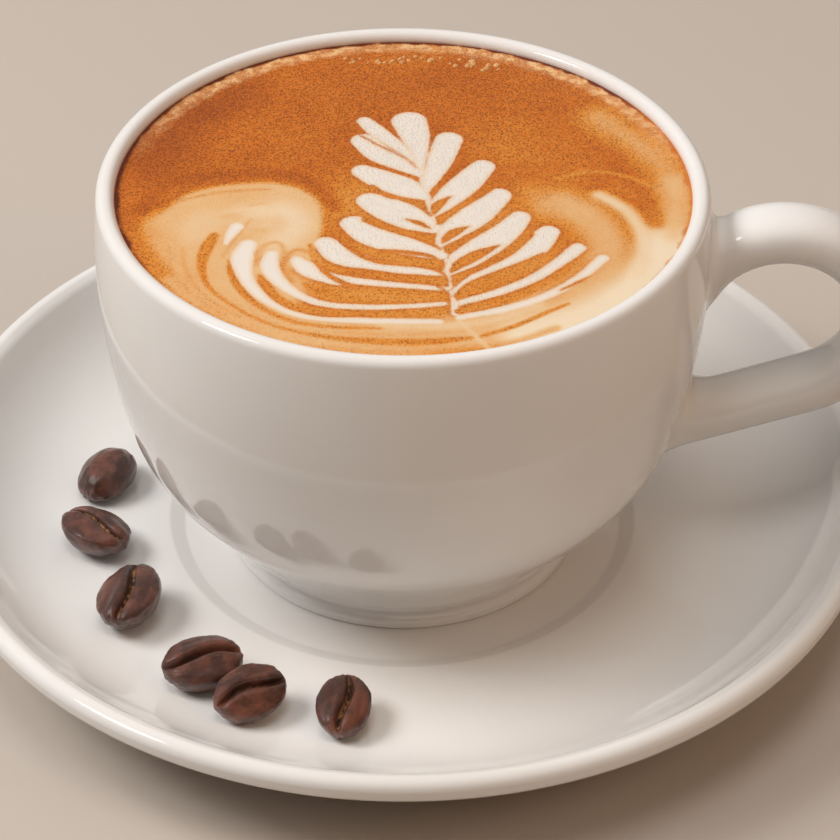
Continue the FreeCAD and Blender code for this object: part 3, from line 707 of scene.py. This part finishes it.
def paintDrink(mesh):
    # milk, tone and the gap to the wall, for the drink's material
    spots = np.empty(len(mesh.vertices) * 3)
    mesh.vertices.foreach_get("co", spots)
    spots = spots.reshape(-1, 3) / mm
    turn = math.radians(leaf["turn"])
    x = spots[:, 0] * math.cos(turn) + spots[:, 1] * math.sin(turn)
    y = spots[:, 1] * math.cos(turn) - spots[:, 0] * math.sin(turn)
    onTop = spots[:, 2] > drink["level"] - 0.3
    milk, tone = np.full(x.shape, farOut), np.full(x.shape, leaf["plainTone"])
    milk[onTop], crema = paintLeaf(x[onTop], y[onTop])
    tone[onTop] = paintWashes(x[onTop], y[onTop])
    striped = np.clip((crema + 0.2) / 0.4, 0, 1)
    tone[onTop] += (np.minimum(tone[onTop], leaf["stripeTone"]) - tone[onTop]) * striped
    wallGap = drink["radius"] - np.hypot(x, y)
    for name, values in (("milk", milk), ("tone", tone), ("wallGap", wallGap)):
        layer = mesh.attributes.new(name, "FLOAT", "POINT")
        layer.data.foreach_set("value", values.astype(np.float32))


def pinholesAt(tree, coords, openCrema):
    # more of them towards the back, and in patches
    towardsBack = ramp(tree, lyingTowards(tree, coords, (-0.5, 0.86, 0.0)), -0.020, 0.030)
    patch = calc(tree, "ADD", calc(tree, "MULTIPLY", noiseAt(tree, coords, 60.0, 1.0), 0.4),
                 calc(tree, "MULTIPLY", towardsBack, 0.45))
    specks = None
    for scale, size, share in drink["pinholes"]:
        cell = addNode(tree, "ShaderNodeTexVoronoi", None, {"Vector": coords, "Scale": scale})
        chance = addNode(tree, "ShaderNodeSeparateColor", None, {0: cell.outputs["Color"]})
        drawn = calc(tree, "ADD", chance.outputs[0], patch)
        shown = ramp(tree, drawn, share, share + 0.35)
        dot = ramp(tree, cell.outputs["Distance"], size, size * 0.45)
        hole = calc(tree, "MULTIPLY", dot, shown)
        specks = hole if specks is None else calc(tree, "MAXIMUM", specks, hole)
    return calc(tree, "MULTIPLY", specks, openCrema)


def shadeAtWall(tree, coords, gap, base):
    # pale froth at the back, and a line of crema at the wall: dark at the back and the left, where
    # painted shade stands for the rim's shadow, and orange at the right where it is lit
    place = addNode(tree, "ShaderNodeSeparateXYZ", None, {0: coords})
    ragged = calc(tree, "MULTIPLY", centredNoise(tree, coords, 330.0, 3.0), 2.2)
    gap = calc(tree, "ADD", gap, ragged)
    back = ramp(tree, place.outputs["Y"], 0.002, 0.030)
    left = ramp(tree, place.outputs["X"], -0.024, -0.040)
    mottled = ramp(tree, noiseAt(tree, coords, 700.0, 3.0, 0.6), 0.42, 0.62)
    froth = calc(tree, "MULTIPLY", ramp(tree, gap, 4.2, 2.4), ramp(tree, gap, 0.4, 1.2))
    froth = calc(tree, "MULTIPLY", froth, back)
    froth = calc(tree, "MULTIPLY", froth,
                 calc(tree, "ADD", calc(tree, "MULTIPLY", mottled, 0.6), 0.3))
    base = blend(tree, froth, base, drink["froth"])
    backOrLeft = calc(tree, "MAXIMUM", back, left)
    # painted shade: the wall line is darkened at the back and the left, where the rim shades the
    # drink
    shadeWidth = calc(tree, "MULTIPLY", backOrLeft, 1.1)
    shadedWall = ramp(tree, calc(tree, "SUBTRACT", gap, shadeWidth), 0.35, -0.25)
    shadedWall = calc(tree, "MULTIPLY", shadedWall, backOrLeft)
    base = blend(tree, shadedWall, base, drink["wallShade"])
    right = calc(tree, "MULTIPLY", ramp(tree, place.outputs["X"], 0.030, 0.038),
                 ramp(tree, gap, 1.5, 0.7))
    return blend(tree, calc(tree, "MULTIPLY", right, 0.85), base, drink["wallLine"])


def drinkFinish():
    material, tree, shader = newMaterial("foamedLatte")
    coords = objectCoords(tree)
    tone = attribute(tree, "tone")
    wobble = calc(tree, "MULTIPLY", centredNoise(tree, coords, 900.0, 3.0), 0.28)
    milk = calc(tree, "ADD", attribute(tree, "milk"), wobble)
    # cloudy, grainy crema, with less grain where it is pale
    openCrema = ramp(tree, tone, 0.80, 0.35)
    cloud = centredNoise(tree, coords, 90.0, 4.0)
    grain = centredNoise(tree, coords, 2600.0, 2.0, 0.7)
    grainDepth = calc(tree, "ADD", calc(tree, "MULTIPLY", openCrema, 0.34), 0.14)
    tone = calc(tree, "ADD", tone, calc(tree, "MULTIPLY", cloud, 0.22))
    tone = calc(tree, "ADD", tone, calc(tree, "MULTIPLY", grain, grainDepth), clamp=True)
    shades = addNode(tree, "ShaderNodeValToRGB", None, {"Fac": tone})
    elements = shades.color_ramp.elements
    while len(elements) < len(drink["shades"]):
        elements.new(0.5)
    for element, (position, name) in zip(elements, drink["shades"]):
        element.position = position
        element.color = (*drink[name], 1)
    base = shades.outputs["Color"]
    # a darker, redder line of crema round each petal
    near = calc(tree, "MULTIPLY", ramp(tree, milk, -0.9, -0.2), ramp(tree, tone, 0.75, 0.4))
    base = blend(tree, calc(tree, "MULTIPLY", near, 0.45), base, drink["outline"])
    specks = pinholesAt(tree, coords, openCrema)
    base = blend(tree, calc(tree, "MULTIPLY", specks, 0.62), base, drink["pinhole"])
    # milk, faintly warmer where it is thin
    white = blend(tree, ramp(tree, milk, 0.9, 0.1), drink["milk"], drink["thinMilk"])
    isMilk = ramp(tree, milk, -0.16, 0.26)
    base = shadeAtWall(tree, coords, attribute(tree, "wallGap"), blend(tree, isMilk, base, white))
    tree.links.new(base, shader.inputs["Base Color"])
    height = calc(tree, "SUBTRACT", calc(tree, "MULTIPLY", grain, 0.5), specks)
    tree.links.new(bumpOf(tree, height, 0.00012, 0.6), shader.inputs["Normal"])
    tree.links.new(spread(tree, isMilk, 0.36, 0.46), shader.inputs["Roughness"])
    shader.inputs["Specular IOR Level"].default_value = 0.28
    shader.inputs["Subsurface Weight"].default_value = 0.12
    shader.inputs["Subsurface Radius"].default_value = (1.0, 0.55, 0.3)
    shader.inputs["Subsurface Scale"].default_value = 0.0006
    return material


drinkPiece = makeDrink(drinkFinish())
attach(drinkPiece, "root")
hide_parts("latte")
print("latte poured:", len(drinkPiece.data.polygons), "faces")

# roasted beans, in mm; they lie where the frame has them
bean = {
    "length": 11.6, "width": 8.9, "back": 3.9, "face": 1.6,
    "around": 96, "along": 64,
    "creaseWidth": 0.42, "creaseDepth": 1.5, "creaseBend": 0.75, "creaseWaves": 2.4,
    "lip": 0.35, "lipFrom": 1.35, "lipWidth": 0.9, "wrinkle": 0.042, "leastChaff": 0.35,
    "roast": (0.050, 0.017, 0.011), "lightRoast": (0.150, 0.050, 0.030), "oil": 0.55,
    # the inside colour is painted shade for the deep crease
    "fleck": (0.22, 0.10, 0.06), "inside": (0.020, 0.008, 0.006), "chaff": (0.42, 0.20, 0.08),
}
# degrees for heading, roll and tip; chaff is how much of it the crease shows
beanPlaces = [
    {"heading": 70, "roll": 172, "tip": 4, "scale": 1.00, "chaff": 0.0},
    {"heading": 150, "roll": 10, "tip": 3, "scale": 1.02, "chaff": 0.9},
    {"heading": 83, "roll": -12, "tip": 2, "scale": 1.10, "chaff": 0.7},
    {"heading": 18, "roll": 8, "tip": 2, "scale": 1.04, "chaff": 0.2},
    {"heading": 34, "roll": 24, "tip": 3, "scale": 0.97, "chaff": 0.1},
    {"heading": 88, "roll": 4, "tip": 10, "scale": 0.92, "chaff": 0.9},
]


def beanPoint(direction, seed):
    # from a direction on the unit sphere to the bean's surface in mm, and how deep in the crease
    onFace = direction.z > 0
    x = direction.x * bean["length"] / 2
    y = direction.y * bean["width"] / 2
    thick = bean["face"] if onFace else bean["back"]
    z = math.copysign(abs(direction.z) ** (0.8 if onFace else 1.0), direction.z) * thick
    along = x / (bean["length"] / 2)
    middle = bean["creaseBend"] * math.sin(along * bean["creaseWaves"] + seed)
    middle *= (1 - along * along) ** 0.5
    off = (y - middle) / bean["creaseWidth"]
    fade = max(0.0, 1 - abs(along) ** 5) if onFace else 0.0
    inCrease = math.exp(-off * off) * fade
    lip = math.exp(-((abs(y - middle) - bean["lipFrom"]) / bean["lipWidth"]) ** 2) * fade
    z += bean["lip"] * lip - bean["creaseDepth"] * inCrease
    spot = Vector((x * 0.22, y * 0.8, z * 0.6)) + Vector((seed * 5, 0, 0))
    push = 1 + bean["wrinkle"] * noise.fractal(spot, 0.8, 2.2, 5)
    return Vector((x, y, z)) * push, inCrease


def makeBean(number, place, material):
    name = f"bean_{number}"
    bm = bmesh.new()
    bmesh.ops.create_uvsphere(bm, u_segments=bean["around"], v_segments=bean["along"], radius=1.0)
    lying = Matrix.Rotation(math.pi / 2, 3, "Y")
    bmesh.ops.rotate(bm, verts=bm.verts, cent=(0, 0, 0), matrix=lying)
    creaseLayer = bm.verts.layers.float.new("crease")
    least = bean["leastChaff"]
    for vert in bm.verts:
        spot, depth = beanPoint(vert.co.normalized(), number * 1.7)
        vert.co = spot * place["scale"] * mm
        vert[creaseLayer] = depth * (least + (1 - least) * place["chaff"])
    turn = (Matrix.Rotation(math.radians(place["heading"]), 3, "Z")
            @ Matrix.Rotation(math.radians(-place["tip"]), 3, "Y")
            @ Matrix.Rotation(math.radians(place["roll"]), 3, "X"))
    bmesh.ops.rotate(bm, verts=bm.verts, cent=(0, 0, 0), matrix=turn)
    low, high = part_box(name)
    lowest = min(v.co.z for v in bm.verts)
    move = Vector(((low[0] + high[0]) / 2, (low[1] + high[1]) / 2, low[2] - lowest))
    bmesh.ops.translate(bm, verts=bm.verts, vec=move)
    piece = asPiece(f"roastedBean{number}", bm, material)
    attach(piece, "root")
    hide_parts(name)
    return piece


def beanFinish():
    material, tree, shader = newMaterial("roastedBean")
    coords = objectCoords(tree)
    blotch = ramp(tree, noiseAt(tree, coords, 260.0, 4.0, 0.6), 0.38, 0.68)
    skin = blend(tree, blotch, bean["roast"], bean["lightRoast"])
    fleck = ramp(tree, noiseAt(tree, coords, 1500.0, 2.0), 0.64, 0.72)
    skin = blend(tree, calc(tree, "MULTIPLY", fleck, 0.25), skin, bean["fleck"])
    crease = attribute(tree, "crease")
    torn = ramp(tree, noiseAt(tree, coords, 1100.0, 3.0, 0.7), 0.42, 0.60)
    chaff = calc(tree, "MULTIPLY", ramp(tree, crease, 0.30, 0.55), torn)
    # painted shade: the skin darkens to near black deep in the crease
    skin = blend(tree, ramp(tree, crease, 0.1, 0.5), skin, bean["inside"])
    skin = blend(tree, chaff, skin, bean["chaff"])
    tree.links.new(skin, shader.inputs["Base Color"])
    rough = spread(tree, noiseAt(tree, coords, 700.0, 3.0), 0.26, 0.50)
    tree.links.new(rough, shader.inputs["Roughness"])
    flattened = addNode(tree, "ShaderNodeMapping", None,
                        {"Vector": coords, "Scale": (1.0, 1.0, 1.6)}).outputs["Vector"]
    folded = bumpOf(tree, noiseAt(tree, flattened, 420.0, 4.0, 0.6), 0.00035, 0.55)
    fine = noiseAt(tree, flattened, 1300.0, 3.0, 0.6)
    tree.links.new(bumpOf(tree, fine, 0.00014, 0.6, folded), shader.inputs["Normal"])
    shader.inputs["Coat Weight"].default_value = bean["oil"]
    shader.inputs["Coat Roughness"].default_value = 0.25
    return material


roastFinish = beanFinish()
beans = [makeBean(number, place, roastFinish) for number, place in enumerate(beanPlaces, start=1)]
print("beans laid:", len(beans))

# froth bubbles near the far wall, in mm and degrees
bubbles = {
    "count": 46, "nearest": 36.0, "farthest": 38.4, "from": 66.0, "to": 104.0,
    "small": 0.28, "large": 0.62, "sunk": 0.45,
    "film": (0.72, 0.40, 0.16), "deep": (0.58, 0.25, 0.07),
}


def bubbleFinish():
    material, tree, shader = newMaterial("bubbleFilm")
    coords = objectCoords(tree)
    patchy = ramp(tree, noiseAt(tree, coords, 500.0), 0.35, 0.65)
    tint = blend(tree, patchy, bubbles["film"], bubbles["deep"])
    tree.links.new(tint, shader.inputs["Base Color"])
    shader.inputs["Roughness"].default_value = 0.12
    shader.inputs["Coat Weight"].default_value = 0.8
    shader.inputs["Coat Roughness"].default_value = 0.04
    return material


def makeBubbles(material):
    bm = bmesh.new()
    for _ in range(bubbles["count"]):
        a = math.radians(random.uniform(bubbles["from"], bubbles["to"]) + leaf["turn"])
        r = random.uniform(bubbles["nearest"], bubbles["farthest"])
        size = random.uniform(bubbles["small"], bubbles["large"])
        height = drink["level"] - size * bubbles["sunk"]
        spot = Vector((r * math.cos(a), r * math.sin(a), height)) * mm
        made = bmesh.ops.create_uvsphere(bm, u_segments=16, v_segments=10, radius=size * mm)
        bmesh.ops.translate(bm, verts=made["verts"], vec=spot)
    return asPiece("wallBubbles", bm, material)


bubblePiece = makeBubbles(bubbleFinish())
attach(bubblePiece, "root")
print("bubbles set:", bubbles["count"])

# the table, the light and the camera
studio = {
    "floor": (0.52, 0.46, 0.405), "floorSize": 6.0,
    "above": (1.0, 0.985, 0.965), "front": (0.04, 0.02, 0.01), "skyStrength": 0.42,
    "brightSide": (-0.35, 0.35, 0.87),
    "glow": (0.58, 0.34, 0.19), "glowSide": (0.88, -0.30, 0.36), "aimHeight": 0.03,
    # each lamp: place, size, power, colour, and whether the glaze mirrors it
    "lamps": {
        "key": ((-0.83, 0.07, 0.84), 0.55, 8.4, (1.0, 0.985, 0.965), False),
        "top": ((-0.05, -0.16, 1.10), 0.50, 3.0, (1.0, 0.99, 0.98), False),
        "fill": ((0.80, -0.35, 0.75), 0.60, 2.1, (1.0, 0.76, 0.55), False),
        "window": ((-0.75, -0.25, 0.90), 0.34, 1.8, (1.0, 0.99, 0.97), True),
    },
}
view = {
    "place": (0.0231, -0.33025, 0.2830), "heading": 3.53, "tilt": 51.9, "roll": 0.50,
    "lens": 114.54, "sensor": 36.0,
}


def makeFloor():
    material, tree, shader = newMaterial("paleTable")
    coords = objectCoords(tree)
    darker = tuple(v * 0.985 for v in studio["floor"])
    tint = blend(tree, noiseAt(tree, coords, 3.0), studio["floor"], darker)
    tree.links.new(tint, shader.inputs["Base Color"])
    shader.inputs["Roughness"].default_value = 0.75
    bm = bmesh.new()
    bmesh.ops.create_grid(bm, x_segments=4, y_segments=4, size=studio["floorSize"] / 2)
    floor = asPiece("paleTable", bm, material, smooth=False)


def addLight(name, place, size, power, colour, mirrored):
    lamp = bpy.data.lights.new(name, "AREA")
    lamp.shape = "DISK"
    lamp.size, lamp.energy, lamp.color = size, power, colour
    light = bpy.data.objects.new(name, lamp)
    light.location = place
    aim = Vector((0, 0, studio["aimHeight"])) - Vector(place)
    light.rotation_euler = aim.to_track_quat("-Z", "Y").to_euler()
    light.visible_glossy = mirrored
    bpy.context.collection.objects.link(light)


def makeStudio():
    world = bpy.data.worlds.new("studio")
    world.use_nodes = True
    tree = world.node_tree
    sky = tree.nodes["Background"]
    towards = addNode(tree, "ShaderNodeTexCoord").outputs["Generated"]
    bright = ramp(tree, lyingTowards(tree, towards, studio["brightSide"]), 0.0, 0.85)
    glowing = ramp(tree, lyingTowards(tree, towards, studio["glowSide"]), 0.2, 1.0)
    shade = blend(tree, bright, studio["front"], studio["above"])
    shade = blend(tree, glowing, shade, studio["glow"])
    tree.links.new(shade, sky.inputs["Color"])
    sky.inputs["Strength"].default_value = studio["skyStrength"]
    bpy.context.scene.world = world
    for name, settings in studio["lamps"].items():
        addLight(name, *settings)


def makeLook():
    bpy.context.scene.view_settings.view_transform = "Standard"


def makeCamera():
    lens = bpy.data.cameras.new("view")
    lens.lens, lens.sensor_width = view["lens"], view["sensor"]
    lens.clip_start = 0.01
    camera = bpy.data.objects.new("view", lens)
    camera.location = view["place"]
    turn = (Matrix.Rotation(math.radians(view["heading"]), 3, "Z")
            @ Matrix.Rotation(math.radians(view["tilt"]), 3, "X")
            @ Matrix.Rotation(math.radians(view["roll"]), 3, "Z"))
    camera.rotation_euler = turn.to_euler()
    bpy.context.collection.objects.link(camera)
    bpy.context.scene.camera = camera


makeFloor()
makeStudio()
makeLook()
makeCamera()
print("studio ready")
